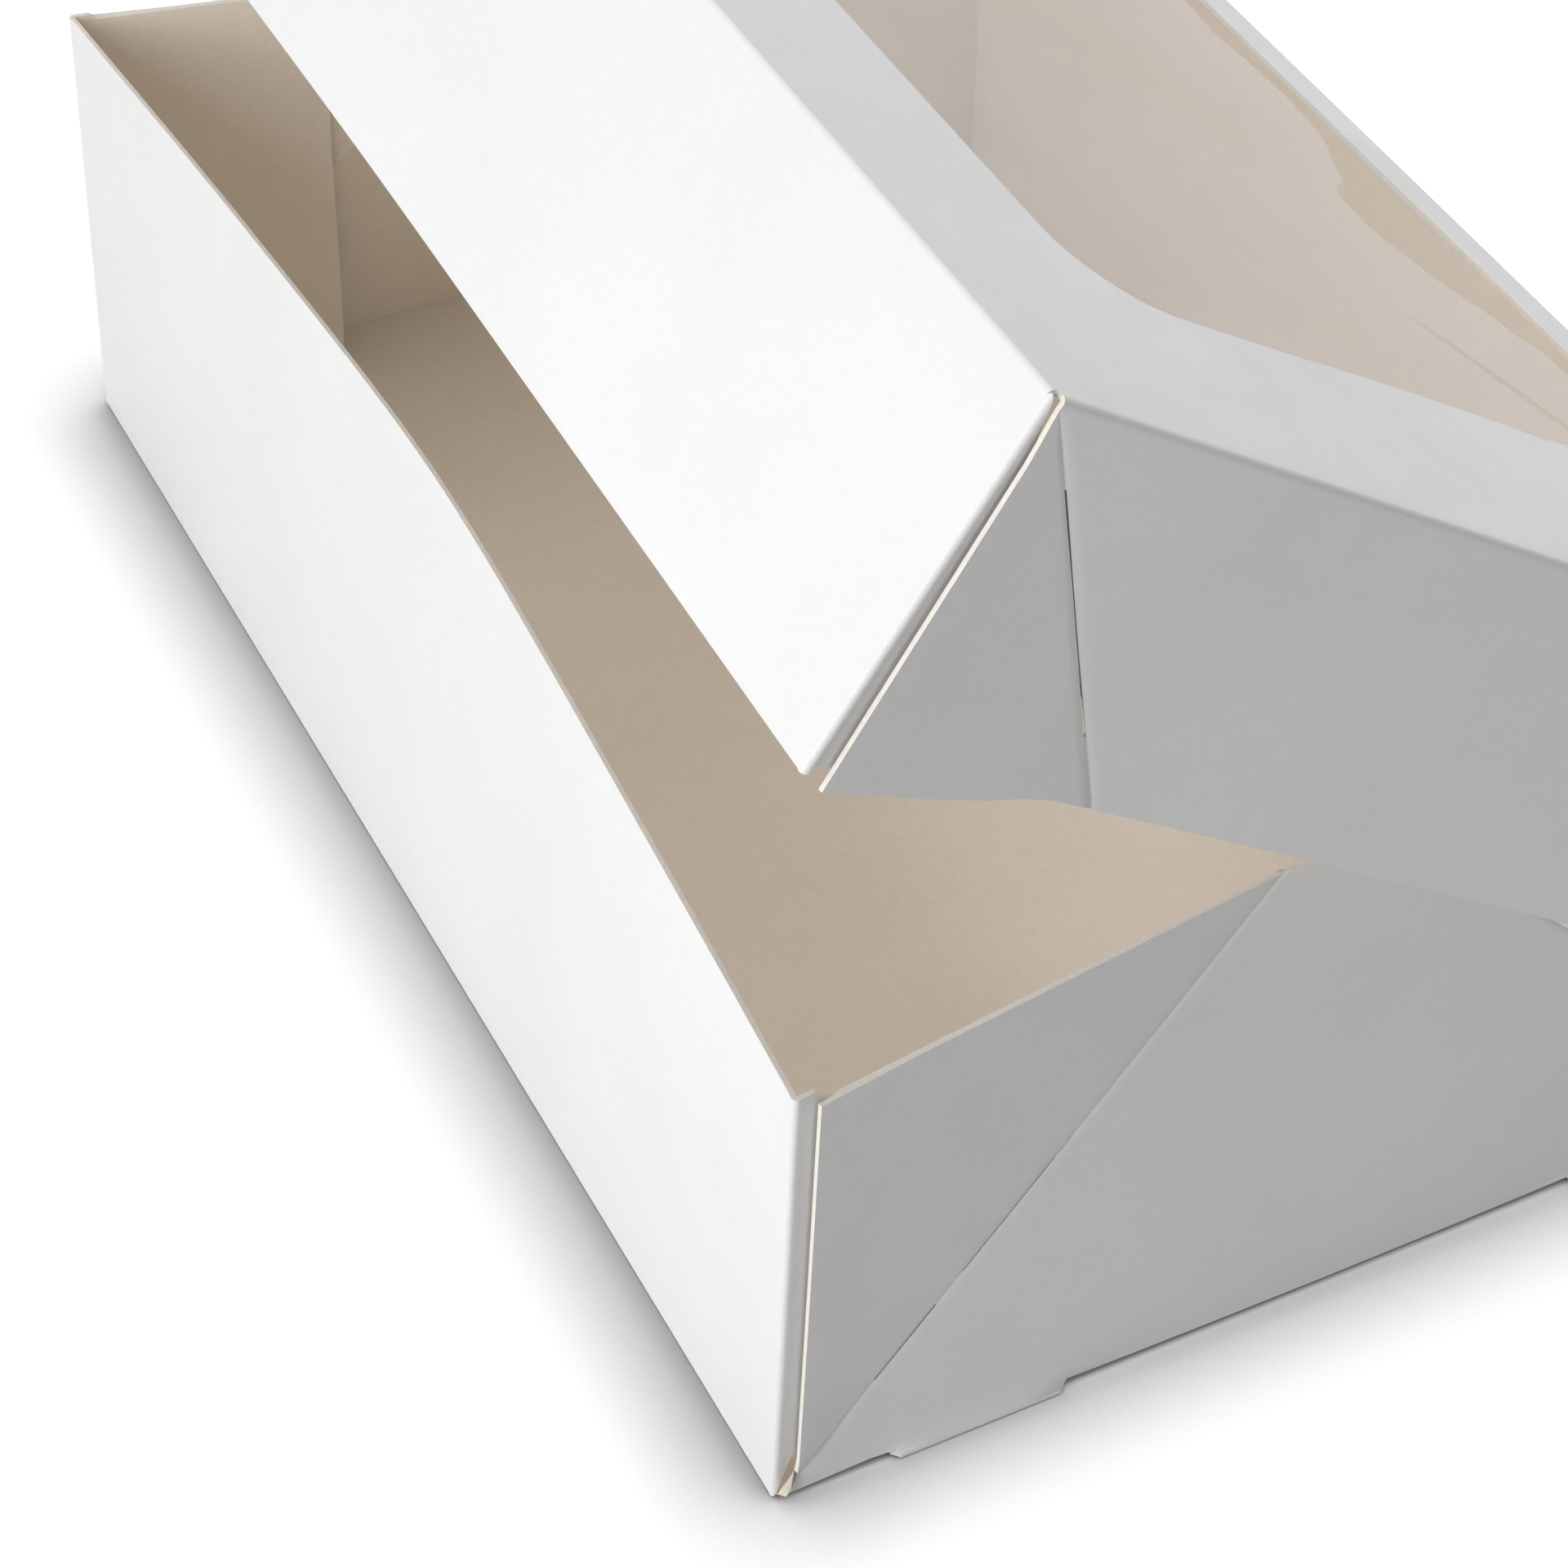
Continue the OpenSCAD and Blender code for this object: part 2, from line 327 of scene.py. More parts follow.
def coated_white():
    """White coated board with a faint mottle and a fine grain."""
    mat, tree, bsdf = node_material("coated_white_board")
    coords = add(tree, "ShaderNodeTexCoord")
    cloud = noise_at(tree, coords, 35, 4)
    fine = noise_at(tree, coords, 700, 4, 0.6)
    tone = ramp(tree, cloud, [(0.3, (0.868, 0.866, 0.866)), (0.7, (0.898, 0.897, 0.897))])
    grain = ramp(tree, fine, [(0.3, (0.975, 0.975, 0.975)), (0.7, (1, 1, 1))])
    tree.links.new(multiplied(tree, 1.0, tone, grain), bsdf.inputs["Base Color"])
    tree.links.new(between(tree, noise_at(tree, coords, 120, 3), 0.38, 0.5), bsdf.inputs["Roughness"])
    bsdf.inputs["Specular IOR Level"].default_value = 0.4
    bump(tree, bsdf, fine, 0.00003, 0.5)
    return mat


def kraft_inside():
    """Uncoated brown board with fibres and a few darker specks."""
    mat, tree, bsdf = node_material("uncoated_inside_board")
    coords = add(tree, "ShaderNodeTexCoord")
    cloud = noise_at(tree, coords, 28, 4)
    fibre = noise_at(tree, coords, 900, 3, 0.55)
    speck = noise_at(tree, coords, 1500, 2, 0.5)
    tone = ramp(tree, cloud, [(0.3, (0.945, 0.865, 0.765)), (0.7, (0.97, 0.898, 0.802))])
    fibres = ramp(tree, fibre, [(0.28, (0.962, 0.958, 0.954)), (0.72, (1, 1, 1))])
    specks = ramp(tree, speck, [(0.26, (0.82, 0.78, 0.74)), (0.34, (1, 1, 1))])
    colour = multiplied(tree, 1.0, tone, fibres)
    colour = multiplied(tree, 0.35, colour, specks)
    tree.links.new(colour, bsdf.inputs["Base Color"])
    bsdf.inputs["Roughness"].default_value = 0.82
    bsdf.inputs["Specular IOR Level"].default_value = 0.25
    bump(tree, bsdf, fibre, 0.00003, 0.35)
    return mat


def cut_edge():
    """The board's cream core at a cut."""
    mat, tree, bsdf = node_material("cut_board_edge")
    coords = add(tree, "ShaderNodeTexCoord")
    fine = noise_at(tree, coords, 900, 4, 0.7)
    tone = ramp(tree, fine, [(0.3, (0.84, 0.79, 0.72)), (0.7, (0.93, 0.895, 0.84))])
    tree.links.new(tone, bsdf.inputs["Base Color"])
    bsdf.inputs["Roughness"].default_value = 0.85
    bsdf.inputs["Specular IOR Level"].default_value = 0.2
    bump(tree, bsdf, fine, 0.0001, 0.6)
    return mat


def maths(tree, kind, *values, clamped=False):
    """Maths node whose inputs are sockets or numbers."""
    node = add(tree, "ShaderNodeMath", operation=kind, use_clamp=clamped)
    for socket, value in zip(node.inputs, values):
        if isinstance(value, (int, float)):
            socket.default_value = value
        else:
            tree.links.new(value, socket)
    return node.outputs[0]


# Haze on the film, in metres: its line from the hinge, the line's raggedness, and its hump
HAZE_LINE = 0.0092
HAZE_RAGGED = 0.012
HUMP = 0.017
HUMP_X = 0.028
HUMP_TURN = 55.0
# Middle of the film's wrinkle, across and from the hinge, and half its length
WRINKLE = (0.0728, 0.0402)
WRINKLE_HALF = 0.013


def clear_film():
    """Hazy clear film. The haze stops short of the hinge along an uneven line."""
    mat, tree, bsdf = node_material("clear_window_film")
    coords = add(tree, "ShaderNodeTexCoord")
    cloud = noise_at(tree, coords, 14, 3)
    ragged = noise_at(tree, coords, 45, 4, 0.6)
    split = add(tree, "ShaderNodeSeparateXYZ")
    tree.links.new(coords.outputs["Object"], split.inputs[0])
    # Distance from the hinge along the lid, in metres
    hinge_y, hinge_z = DEPTH / 2000, HEIGHT / 1000
    run = maths(tree, "MULTIPLY", maths(tree, "SUBTRACT", hinge_y, split.outputs["Y"]), math.cos(OPEN))
    rise = maths(tree, "MULTIPLY", maths(tree, "SUBTRACT", split.outputs["Z"], hinge_z), math.sin(OPEN))
    along = maths(tree, "ADD", run, rise)
    # The haze line runs beside the hinge, is ragged, and has one hump
    off = maths(tree, "MULTIPLY", maths(tree, "SUBTRACT", split.outputs["X"], HUMP_X), HUMP_TURN)
    hump = maths(tree, "EXPONENT", maths(tree, "MULTIPLY", maths(tree, "MULTIPLY", off, off), -1.0))
    line = maths(tree, "ADD", maths(tree, "MULTIPLY", hump, HUMP), HAZE_LINE)
    line = maths(tree, "ADD", line, maths(tree, "MULTIPLY", ragged, HAZE_RAGGED))
    inside_haze = maths(tree, "MULTIPLY", maths(tree, "SUBTRACT", along, line), 900.0, clamped=True)
    haze = between(tree, cloud, 0.18, 0.26)
    clear = 0.18
    share = maths(tree, "ADD", maths(tree, "MULTIPLY", inside_haze, 1 - clear), clear)
    shown = maths(tree, "MULTIPLY", haze, share)
    tree.links.new(shown, bsdf.inputs["Alpha"])
    bsdf.inputs["Base Color"].default_value = (0.95, 0.915, 0.93, 1)
    bsdf.inputs["Roughness"].default_value = 0.15
    bsdf.inputs["IOR"].default_value = 1.5
    # A short slanting wrinkle near the hinge
    across = maths(tree, "SUBTRACT", split.outputs["X"], WRINKLE[0])
    behind = maths(tree, "SUBTRACT", along, WRINKLE[1])
    slant = maths(tree, "ADD", maths(tree, "MULTIPLY", across, 0.6), maths(tree, "MULTIPLY", behind, 0.8))
    slant = maths(tree, "MULTIPLY", slant, 1500.0)
    ridge = maths(tree, "EXPONENT", maths(tree, "MULTIPLY", maths(tree, "MULTIPLY", slant, slant), -1.0))
    left_over = maths(tree, "SUBTRACT", WRINKLE_HALF, maths(tree, "ABSOLUTE", across))
    ridge = maths(tree, "MULTIPLY", ridge, maths(tree, "MULTIPLY", left_over, 150.0, clamped=True))
    height = maths(tree, "ADD", maths(tree, "MULTIPLY", cloud, 0.4), maths(tree, "MULTIPLY", ridge, 1.2))
    bump(tree, bsdf, height, 0.001, 0.6)
    return mat


white = coated_white()
inside = kraft_inside()
edge = cut_edge()
film_finish = clear_film()


def corner_columns(half, lean, tab):
    """Corner fold and glue tab seen from above, from the wall's end to the tab's end."""
    x = half - GLUE
    centre = corner_end(half, lean)
    out = []
    for k in range(ARC + 1):
        a = math.pi / 2 - (math.pi / 2 + lean) * k / ARC
        out.append((centre + FOLD * math.cos(a), FOLD - FOLD * math.sin(a), 0.0))
    for u in tab:
        out.append((x - u * math.sin(lean), u, u))
    return out


def corner_end(half, lean):
    """Where the front or rear wall ends and its corner fold begins."""
    return half - GLUE - FOLD * (1 + math.sin(lean)) / math.cos(lean)


# Base tray. Rows across the bottom, from the front fold
MID = [3, 8, 13, 17, 18, 22, 27, 32, 35, 41.5, 42.5, 52, 62, 72]
MID = MID + [82.5] + [DEPTH - y for y in reversed(MID)]
# Heights of the rows on the front wall and on the rear wall, which ends at the hinge
WALL_Z = [1.4, 2.4, 3.8, 7.2, 12, 18, 25, 33, 41, 49, 57, 65, 71, 74.3, 75]
REAR_Z = [z for z in WALL_Z if z < REAR_TOP] + [REAR_TOP]
# Columns on a glue tab, from the corner
TAB_U = [1.4, 2.2, 2.7, 3.1, 3.5, 3.9, 4.4, 8, 14, 20, 26, 32, 38, TAB]
# Lower edge of a corner fold at each of its columns
CORNER_LOW = [FOLD, 0.4, 0.35, 0.6, 1.2, 2.1]


def front_inset(x):
    """How far the front wall's top edge stands in."""
    bow = BOW - (BOW - TOE) * soft(x) / soft(HALF)
    return bow + 0.35 * math.exp(-((x + 75) / 40) ** 2)


def tab_low(u):
    """Lower edge of a glue tab, u from the corner. It is notched there, then slopes down."""
    if u < 2.7:
        return 2.1 + 5.1 * clamp((u - 0.8) / 1.9)
    if u < 8:
        return 7.2 - 0.2 * (u - 2.7) / 5.3
    return 7 - 2.5 * (u - 8) / 33.5


def tray_corner(sheet, left, rear):
    """Corner fold and glue tab at one end of the front or rear wall."""
    lean = LEFT if left else RIGHT
    toe = 0 if rear else TOE
    top = WALL_Z[-1]
    # The left front tab is a little short and turned inwards
    turned = left and not rear
    tab = TAB_U[:-1] + [40.4] if turned else TAB_U
    heights = [FOLD] + (REAR_Z if rear else WALL_Z)
    rows = []
    for z in heights:
        row = []
        for k, (x, y, u) in enumerate(corner_columns(HALF, lean, tab)):
            low = tab_low(u) if u else CORNER_LOW[k]
            if rear or left:
                # Only the right front corner is open down to its notch
                low = FOLD + (low - FOLD) * smooth((u - 5) / 3)
            # The tab's top edge stands below the triangle's
            sunk = (0.85 + 0.0188 * u if left else 2.4) * smooth((u - 3) / 1.5)
            h = low + (top - sunk - low) * (z - FOLD) / (top - FOLD)
            turn = 2.5 * (u / TAB) ** 2 * smooth((56 - h) / 52) if turned else 0
            row.append((x - turn, y * (1 - toe / HEIGHT) + toe * h / HEIGHT, h))
        rows.append(row)
    sheet.patch(rows, left, rear)


def tray():
    """The tray's board: rear wall, bottom and front wall in one patch, then its corners and sides."""
    sheet = Sheet("tray_board", base_place)
    right_end = corner_end(HALF, RIGHT)
    left_end = -corner_end(HALF, LEFT)
    columns = [left_end, left_end + 0.6, -121.5] + spread(-117, 117, 39) + [121.5, right_end - 0.6, right_end]
    rows = []
    for z in reversed(REAR_Z):
        rows.append([(x, DEPTH, z) for x in columns])
    for k in range(ARC, -1, -1):
        a = math.pi / 2 * k / ARC
        rows.append([(x, DEPTH - FOLD + FOLD * math.sin(a), FOLD - FOLD * math.cos(a)) for x in columns])
    for y in reversed(MID):
        rows.append([(x, y, 0) for x in columns])
    for k in range(ARC + 1):
        a = math.pi / 2 * k / ARC
        z = FOLD - FOLD * math.cos(a)
        rows.append([(x, FOLD - FOLD * math.sin(a) + front_inset(x) * z / HEIGHT, z) for x in columns])
    for z in WALL_Z:
        # The wall's very end keeps the corner's own set-back
        rows.append([(x, (TOE if x in (left_end, right_end) else front_inset(x)) * z / HEIGHT, z)
                     for x in columns])
    sheet.patch(rows)
    for left in (False, True):
        for rear in (False, True):
            tray_corner(sheet, left, rear)
        tray_side(sheet, left)
    return sheet


# Columns of a corner triangle, as shares of the way from its free edge to the crease
TRIANGLE = (0, 0.04, 0.2, 0.4, 0.6, 0.8, 0.96, 1)


def tray_side(sheet, left):
    """Side wall with its corner triangles and the fold at its foot."""
    lean = LEFT if left else RIGHT
    end = corner_end(HALF, lean)
    foot = fold_end(lean)
    centre = SIDE_X - foot
    # Flat board beside the slits, with its own cut edge
    for part in ([FOLD] + [y for y in MID if y <= CREASED[0]],
                 [y for y in MID if CREASED[1] <= y <= DEPTH - CREASED[1]],
                 [y for y in MID if y >= DEPTH - CREASED[0]] + [DEPTH - FOLD]):
        # On the right it is bent up at the slits
        row = ((end, 0), (124.2, 0), (124.9, 0)) if left else ((end, 0), (124.45, 0.3), (124.82, 0.7))
        sheet.patch([[(x, y, z) for y in part] for x, z in row], left)
    # Folded board between the slits
    for part in ([y for y in MID if CREASED[0] <= y <= CREASED[1]],
                 [y for y in MID if DEPTH - CREASED[1] <= y <= DEPTH - CREASED[0]]):
        rows = [[(end, y, 0) for y in part]]
        for k in range(ARC + 1):
            a = (math.pi / 2 + lean) * k / ARC
            rows.append([(centre + FOLD * math.sin(a), y, FOLD - FOLD * math.cos(a)) for y in part])
        sheet.patch(rows, left)
    # Wall with a corner triangle at each end. The slit edge stands lower than the
    # creased fold on the left and higher on the right.
    heights = [0.72, foot, foot + 0.5, 2.5, 4.3] if left else [foot, 1.5, 2.5, 4.3]
    heights += [7, 11, 15, 19.5, 24, 28, 36, 44, 52, 60, 67, 71, 73.3, SIDE_H]
    bottom = [foot] + MID + [DEPTH - foot]
    # Stretches of the crease that are cut through, from and to a height, and half the cut
    cuts = ((15, 24, 0.26), (28, 36, 0.15)) if left else ((15, 24, 0.26), (28, 44, 0.15))
    rows = []
    for v in heights:
        grown = clamp((v - foot) / 3)
        width = 0.9 * grown
        half_cut = 0.2 * grown
        for low, high, half in cuts:
            if low <= v <= high:
                half_cut = half
        groove = GROOVE * grown
        free = foot + (3.4 - foot) * clamp((v - foot) / (4.3 - foot))

        def triangle(tilt):
            out = []
            for t in TRIANGLE:
                u = free + (v - width - free) * t
                drop = (0.1 if left else 0.6) * (1 - t) * (v / SIDE_H) ** 3
                flat = corner_at(SIDE_X, lean, tilt, u, v - drop)
                out.append(lifted(flat, lean, u, free, v, TRAY_LIFT))
            beside = corner_at(SIDE_X, lean, tilt, v - half_cut, v)
            out.append(pressed(beside, lean, groove * GROOVE_EDGE))
            return out

        middle = pressed(main_at(SIDE_X, lean, v, v), lean, groove)
        after = pressed(main_at(SIDE_X, lean, v + half_cut, v), lean, groove * GROOVE_EDGE)
        first, last = v + width, DEPTH - v - width
        wall = []
        for y in bottom:
            u = first + (last - first) * (y - foot) / (DEPTH - 2 * foot)
            rise = 0
            if v == 1.5 and not left:
                # The slit edge stands highest next to the creased stretches
                near = min(y, DEPTH - y)
                if near <= CREASED[0]:
                    rise = near / CREASED[0]
                else:
                    rise = math.exp(-max(0, near - CREASED[1]) / 22)
                rise = 0.5 * rise - 0.45
            wall.append(main_at(SIDE_X, lean, u, v + rise))

        def back(p):
            return (p[0], DEPTH - p[1], p[2])

        rows.append(triangle(TOE / HEIGHT) + [middle, after] + wall
                    + [back(after), back(middle)] + [back(p) for p in reversed(triangle(0))])
    total = len(rows[0])
    # Columns before the wall: the triangle, the crease's first edge, its middle and its last edge
    before = len(TRIANGLE) + 3

    def slit(i, j):
        if i == 0:
            if not before <= j < total - before - 1:
                return left
            y = (bottom[j - before] + bottom[j - before + 1]) / 2
            creased = CREASED[0] < min(y, DEPTH - y) < CREASED[1]
            return creased == left
        j = min(j, total - 2 - j)
        beside_crease = j in (before - 3, before - 2)
        return beside_crease and any(low <= heights[i] < high for low, high, half in cuts)

    sheet.patch(rows, left, skip=slit)


# Lid. Depths of the rows on the front flap
FLAP_W = [1.4, 2.4, 3.8, 6, 9, 13, 18, 24, 30, 36, 42, 46.5, 49.4, FLAP]
# Columns on a glue tab, from the corner
LID_TAB_U = [1.4, 2.2, 2.7, 5, 8, 13, 18, 23, 28, 34]
# Columns along a side flap, from the front fold
LID_Y = [1.4, 3, 5.5, 9, 14, 20, 27] + [34 + 8 * k for k in range(15)]
LID_Y += [153, 159, LID_L - 4, LID_L - FLAP_REAR]


def flap_inset(x):
    """How far the front flap's lower edge stands in."""
    bow = 3.1 - 1.9 * soft(x) / soft(LID_X)
    return bow + 0.1 * math.exp(-((x + 25) / 30) ** 2)


def lid_edge():
    """Where the lid's panel ends and its side folds begin."""
    return LID_X - fold_end(FLAP_LEAN)


def window_outline(grow=0.0):
    """Window edge as points across and behind the lid's front fold."""
    front, rear = LID_L - WINDOW_FRONT, LID_L - WINDOW_REAR
    side, reach = WINDOW_HALF - FRONT_RADIUS, FRONT_RADIUS + grow
    quarter = []
    for k in range(9):
        a = math.pi / 2 * k / 8
        quarter.append((side + reach * math.sin(a), front + FRONT_RADIUS - reach * math.cos(a)))
    for y in (58, 68, 78, 88, 98, 107):
        quarter.append((WINDOW_HALF + grow, y))
    side, reach = WINDOW_HALF - REAR_RADIUS, REAR_RADIUS + grow
    for k in range(15):
        a = math.pi / 2 * k / 14
        quarter.append((side + reach * math.cos(a), rear - REAR_RADIUS + reach * math.sin(a)))
    # The window is a little narrower towards the rear
    shaped = []
    for x, y in quarter:
        narrow = 1 - 0.04 * smooth((y - LID_L + 125) / 65)
        shaped.append((x * narrow, y))
    left = [(-x, y) for x, y in reversed(shaped)]
    loop = [(x, shaped[0][1]) for x in spread(-70, 70, 14)] + shaped
    return loop + [(x, shaped[-1][1]) for x in spread(33, -33, 7)] + left


def inside_loop(x, y, loop):
    """Whether a point lies within a closed outline."""
    inside_now = False
    for (ax, ay), (bx, by) in zip(loop, loop[1:] + loop[:1]):
        if (ay > y) != (by > y) and x < ax + (bx - ax) * (y - ay) / (by - ay):
            inside_now = not inside_now
    return inside_now


def lid_panel(sheet, columns):
    """Flat panel with the window hole, in triangles between its outline, the hole and a grid."""
    rear = LID_L - 1.2
    edge_x = lid_edge()
    outline = [(x, FOLD) for x in columns]
    outline += [(edge_x, y) for y in LID_Y]
    outline += [(edge_x, rear)] + [(x, rear) for x in reversed(columns)] + [(-edge_x, rear)]
    outline += [(-edge_x, y) for y in reversed(LID_Y)]
    window = window_outline()
    points = list(outline) + list(window)
    edges = [(i, (i + 1) % len(outline)) for i in range(len(outline))]
    edges += [(len(outline) + i, len(outline) + (i + 1) % len(window)) for i in range(len(window))]
    wide = window_outline(2.2)
    for x in [-edge_x + 1.2, -122] + spread(-117, 117, 26) + [122, edge_x - 1.2]:
        for y in [FOLD + 1.2] + spread(5, LID_L - 6, 18) + [rear - 1.5]:
            if not inside_loop(x, y, wide):
                points.append((x, y))
    for x, y in window_outline(1.5):
        points.append((x, y))
    out = geometry.delaunay_2d_cdt([Vector(p) for p in points], edges, [], 0, 1e-4)
    for tri in out[2]:
        corners = [out[0][i] for i in tri]
        cx = sum(c.x for c in corners) / 3
        cy = sum(c.y for c in corners) / 3
        if inside_loop(cx, cy, outline) and not inside_loop(cx, cy, window):
            area = geometry.area_tri(*[Vector((c.x, c.y, 0)) for c in corners])
            if area < 1e-5:
                continue
            turn = (corners[1] - corners[0]).cross(corners[2] - corners[0]) > 0
            sheet.face([(c.x, c.y, 0) for c in corners], turn)


def lid():
    """The lid's board: panel, front flap with its corner folds and tabs, and side flaps."""
    sheet = Sheet("lid_board", lid_place, True)
    end = corner_end(LID_X - BOARD, FLAP_LEAN)
    columns = [-end, -end + 0.6, -124] + spread(-119, 119, 34) + [124, end - 0.6, end]
    lid_panel(sheet, columns)
    rows = []
    for k in range(ARC + 1):
        a = math.pi / 2 * k / ARC
        w = FOLD - FOLD * math.cos(a)
        rows.append([(x, FOLD - FOLD * math.sin(a) + flap_inset(x) * w / FLAP, w) for x in columns])
    for w in FLAP_W:
        rows.append([(x, (FLAP_TOE if abs(x) == end else flap_inset(x)) * w / FLAP, w) for x in columns])
    sheet.patch(rows)
    for left in (False, True):
        rows = []
        for w in [FOLD] + FLAP_W:
            row = []
            for k, (x, y, u) in enumerate(corner_columns(LID_X - BOARD, FLAP_LEAN, LID_TAB_U)):
                start = tab_low(u) if u else CORNER_LOW[k]
                stop = FLAP - 1.4 * smooth((u + 0.15 * k) / 2.5)
                h = start + (stop - start) * (w - FOLD) / (FLAP - FOLD)
                # The tab stands a little inside the triangle's free edge
                row.append((x - 0.3 * smooth(u / 2.5), y * (1 - FLAP_TOE / FLAP) + FLAP_TOE * h / FLAP, h))
            rows.append(row)
        sheet.patch(rows, left)
        lid_side(sheet, left)
    return sheet


# Columns of the lid's corner triangle, as those of the tray's
LID_TRIANGLE = (0, 0.04, 0.2, 0.4, 0.6, 0.72, 0.84, 0.96, 1)


def lid_side(sheet, left):
    """Side flap with its fold and its corner triangle."""
    foot = fold_end(FLAP_LEAN)
    centre = LID_X - foot
    rows = []
    for k in range(ARC + 1):
        a = (math.pi / 2 + FLAP_LEAN) * k / ARC
        rows.append([(centre + FOLD * math.sin(a), y, FOLD - FOLD * math.cos(a)) for y in LID_Y])
    sheet.patch(rows, left)
    tip = LID_Y[0]
    heights = [tip, 2.2, 3.5, 5, 8, 10, 15, 20, 25, 30, 35, 39, 43, 46.5, SIDE_FLAP]
    length = LID_Y[-1] - tip
    # Board between the fold and the point where the corner triangle starts
    sheet.patch([[main_at(LID_X, FLAP_LEAN, y, v) for y in LID_Y] for v in (foot, tip)], left)
    rows = []
    for v in heights:
        grown = clamp((v - tip) / 3)
        width = 0.9 * grown
        half_cut = 0.1 if 20 <= v <= 30 else 0.16 * grown
        groove = GROOVE * grown
        # The triangle's free edge is longer than the flap is deep
        reach = tip + (51.4 - tip) * (v - tip) / (SIDE_FLAP - tip)
        crease_u = tip + 0.972 * (v - tip)
        free = tip + (2.0 - tip) * clamp((v - tip) / 6) + 1.5 * clamp((v - 8) / 40.2)
        row = []
        for t in LID_TRIANGLE:
            u = free + (crease_u - width - free) * t
            depth = reach + (v - reach) * t
            # Its lower edge is hollow beside the crease
            depth -= 1.0 * (v / SIDE_FLAP) ** 8 * math.exp(-((u - 37) / 7) ** 2)
            flat = corner_at(LID_X, FLAP_LEAN, FLAP_TOE / FLAP, u, depth)
            row.append(lifted(flat, FLAP_LEAN, u, free, v, LID_LIFT))
        for aside, share in ((-half_cut, GROOVE_EDGE), (0, 1), (half_cut, GROOVE_EDGE)):
            flat = main_at(LID_X, FLAP_LEAN, crease_u + aside, v)
            row.append(pressed(flat, FLAP_LEAN, groove * share))
        last = LID_L - FLAP_REAR - FLAP_SLANT * (v - tip) / (SIDE_FLAP - tip)
        for y in LID_Y:
            u = crease_u + width + (last - crease_u - width) * (y - tip) / length
            row.append(main_at(LID_X, FLAP_LEAN, u, v))
        rows.append(row)

    def slit(i, j):
        beside_crease = j in (len(LID_TRIANGLE), len(LID_TRIANGLE) + 1)
        return beside_crease and 10 <= heights[i] < 39

    sheet.patch(rows, left, skip=slit)


def film():
    """Film glued flat along its rim and slightly slack in the window."""
    sheet = Sheet("window_film_sheet", lid_place, True)
    xs = spread(-FILM_HALF, FILM_HALF, 70)
    ys = spread(LID_L - FILM_FRONT, LID_L - FILM_REAR, 50)
    rows = []
    for y in ys:
        row = []
        for x in xs:
            free = smooth(min(1, (94 - abs(x)) / 14))
            free = free * smooth((y - ys[0] - 5) / 12) * smooth((ys[-1] - 5 - y) / 12)
            sag = 0.25 + 0.35 * noise.noise(Vector((x / 38, y / 60, 2.0)))
            row.append((x, y, BOARD + 0.02 + free * max(0.0, sag)))
        rows.append(row)
    # Rows run to the rear, so they are turned to face out through the window
    rows.reverse()
    sheet.patch(rows)
    return sheet


def crease():
    """Strip of board bent at the hinge, from the rear wall to the lid."""
    # Points on the rear wall's face and on the lid's, and pulls that run on from each
    wall_end = Vector((0, 82.4, REAR_TOP))
    lid_end = Vector((0, 82.09, 76.51))
    wall_pull = wall_end + Vector((0, 0, 0.9))
    lid_pull = lid_end - 0.8 * Vector((0, -math.cos(OPEN), math.sin(OPEN)))

    def where(p):
        x, t = p[:2]
        q = (wall_end * (1 - t) ** 3 + wall_pull * 3 * t * (1 - t) ** 2
             + lid_pull * 3 * t * t * (1 - t) + lid_end * t ** 3)
        return Vector((x * (1 + 0.008 * t), q.y, q.z)) * 0.001

    sheet = Sheet("hinge_fold", where, True)
    xs = spread(-corner_end(HALF, LEFT), corner_end(HALF, RIGHT), 44)
    sheet.patch([[(x, t, 0) for x in xs] for t in spread(0, 1, 10)])
    return sheet


tray_piece = tray().finish([white, inside, edge])
lid_piece = lid().finish([white, inside, edge])
crease_piece = crease().finish([white, inside, edge])
film_piece = film().finish([film_finish], FILM, False)
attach(tray_piece, "base")
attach(lid_piece, "lid")
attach(film_piece, "lid")
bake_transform(crease_piece)
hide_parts("base_tray")
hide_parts("lid")
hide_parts("window_film")


# Camera at the photograph's place
def aim(azimuth, elevation, roll):
    """Turn of a camera that looks down by the elevation, with a slight roll."""
    az, el, ro = (math.radians(v) for v in (azimuth, elevation, roll))
    view = Vector((-math.sin(az) * math.cos(el), math.cos(az) * math.cos(el), -math.sin(el)))
    across = view.cross(Vector((0, 0, 1))).normalized()
    up = across.cross(view)
    right = across * math.cos(ro) + up * math.sin(ro)
    up = up * math.cos(ro) - across * math.sin(ro)
    return Matrix((right, up, -view)).transposed()


camera_data = bpy.data.cameras.new("camera")
camera_data.lens = 94.11
camera_data.sensor_width = 36
camera_data.sensor_fit = "HORIZONTAL"
camera_data.clip_start = 0.01
camera = bpy.data.objects.new("camera", camera_data)
scene.collection.objects.link(camera)
camera.matrix_world = Matrix.Translation((0.40504, -0.22499, 0.42842)) @ aim(62.94, 43.81, 0.7).to_4x4()
scene.camera = camera


# Floor, lamps and sky
def shown(tree):
    """One for rays that show the surroundings, in view or mirrored, and nought for light."""
    path = add(tree, "ShaderNodeLightPath")
    mirrored = maths(tree, "MAXIMUM", path.outputs["Is Glossy Ray"], path.outputs["Is Transmission Ray"])
    return maths(tree, "MAXIMUM", path.outputs["Is Camera Ray"], mirrored)


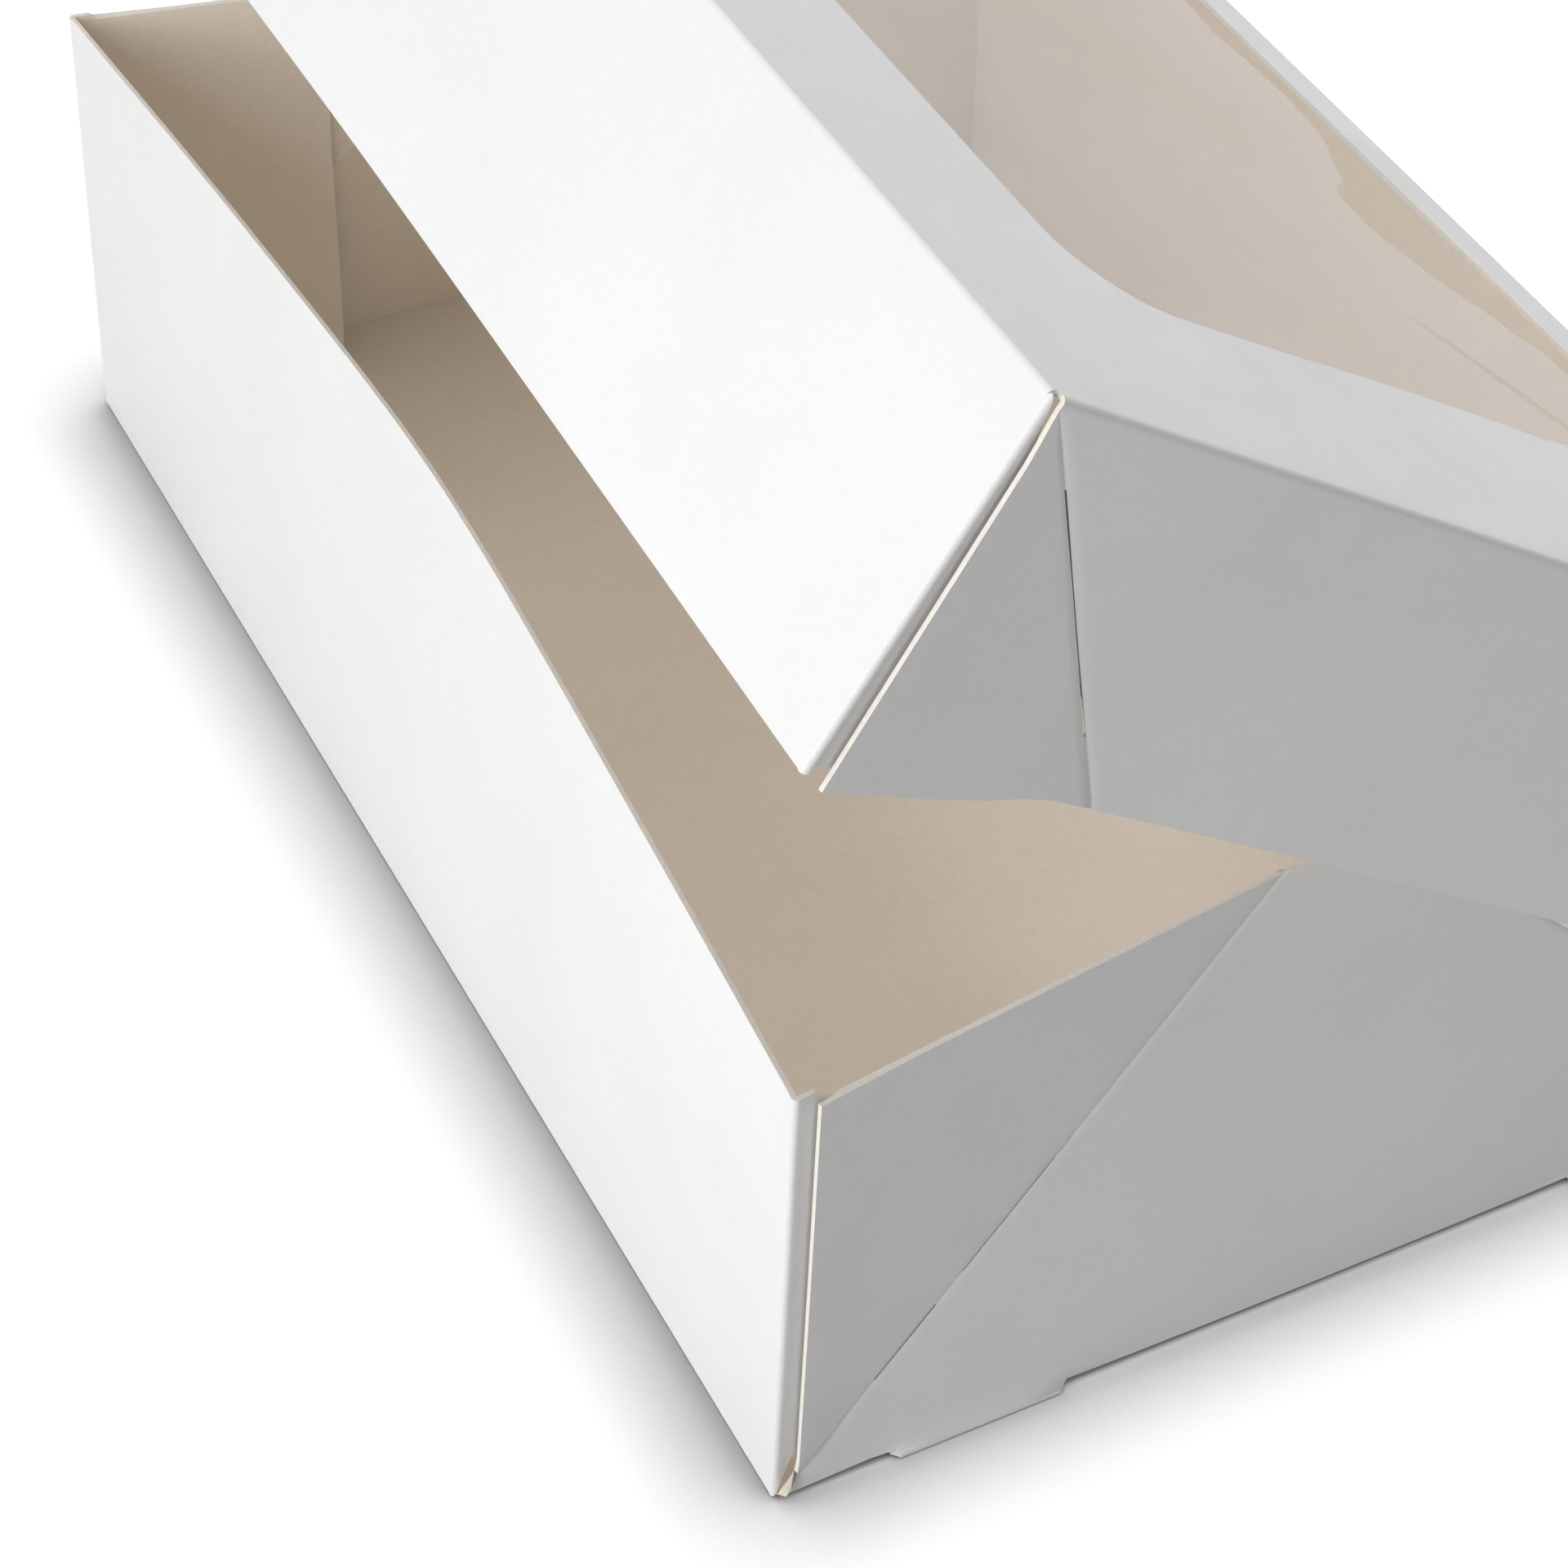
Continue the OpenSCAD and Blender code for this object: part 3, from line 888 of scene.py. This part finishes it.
def floor():
    """Pale floor. In view it is near white with a soft shadow, and to light it is grey."""
    me = bpy.data.meshes.new("floor")
    size, level = 3.0, -0.0001
    corners = [(x, y, level) for x, y in ((-size, -size), (size, -size), (size, size), (-size, size))]
    me.from_pydata(corners, [], [(0, 1, 2, 3)])
    ob = bpy.data.objects.new("floor", me)
    scene.collection.objects.link(ob)
    mat = bpy.data.materials.new("pale_floor")
    mat.use_nodes = True
    tree = mat.node_tree
    tree.nodes.clear()
    out = add(tree, "ShaderNodeOutputMaterial")
    real = add(tree, "ShaderNodeBsdfDiffuse", {"Color": (0.6, 0.595, 0.59, 1)})
    seen = add(tree, "ShaderNodeBsdfDiffuse")
    lift = add(tree, "ShaderNodeEmission", {"Color": (1, 1, 1, 1), "Strength": 1.0})
    # Soft shadow round the foot, with a darker line at the contact
    shade = []
    for distance, power in ((0.0165, 1.3), (0.004, 0.3)):
        near = add(tree, "ShaderNodeAmbientOcclusion", {"Distance": distance}, samples=6)
        shade.append(maths(tree, "POWER", near.outputs["AO"], power))
    shade = maths(tree, "MULTIPLY", *shade)
    for shader, share in ((seen, 0.06), (lift, 0.97)):
        part = add(tree, "ShaderNodeVectorMath", {1: (share, share, share)}, operation="MULTIPLY")
        tree.links.new(shade, part.inputs[0])
        tree.links.new(part.outputs[0], shader.inputs["Color"])
    both = add(tree, "ShaderNodeAddShader")
    mix = add(tree, "ShaderNodeMixShader")
    tree.links.new(seen.outputs[0], both.inputs[0])
    tree.links.new(lift.outputs[0], both.inputs[1])
    tree.links.new(shown(tree), mix.inputs[0])
    tree.links.new(real.outputs[0], mix.inputs[1])
    tree.links.new(both.outputs[0], mix.inputs[2])
    tree.links.new(mix.outputs[0], out.inputs["Surface"])
    me.materials.append(mat)


def lamp(name, place, target, power, size):
    """Square lamp of a size in metres, facing its target."""
    data = bpy.data.lights.new(name, "AREA")
    data.energy = power
    data.shape = "SQUARE"
    data.size = size
    ob = bpy.data.objects.new(name, data)
    scene.collection.objects.link(ob)
    ob.location = place
    ob.rotation_euler = (Vector(place) - Vector(target)).to_track_quat("Z", "Y").to_euler()


def sky(strength):
    """Even light from all round, shown as white."""
    world = bpy.data.worlds.new("studio")
    world.use_nodes = True
    tree = world.node_tree
    back = tree.nodes["Background"]
    choose = add(tree, "ShaderNodeMix", {"A": strength, "B": 1.0}, data_type="FLOAT")
    tree.links.new(shown(tree), choose.inputs["Factor"])
    tree.links.new(choose.outputs["Result"], back.inputs["Strength"])
    back.inputs["Color"].default_value = (1, 1, 1, 1)
    scene.world = world


floor()
sky(0.24)
FRONT_OF_BOX = (0.02, -0.06, 0.08)
MIDDLE_OF_BOX = (0, 0, 0.1)
lamp("key", (0.32, -0.81, 0.2), FRONT_OF_BOX, 2.35, 0.36)
lamp("front", (0.17, -0.8, 0.6), FRONT_OF_BOX, 3.3, 0.5)
lamp("front_left", (-0.7, -0.7, 0.5), FRONT_OF_BOX, 0.6, 0.5)
lamp("top", (-0.1, 0.75, 1.35), MIDDLE_OF_BOX, 6.6, 0.9)
lamp("left", (-1.0, 0.3, 1.0), MIDDLE_OF_BOX, 3.9, 0.8)
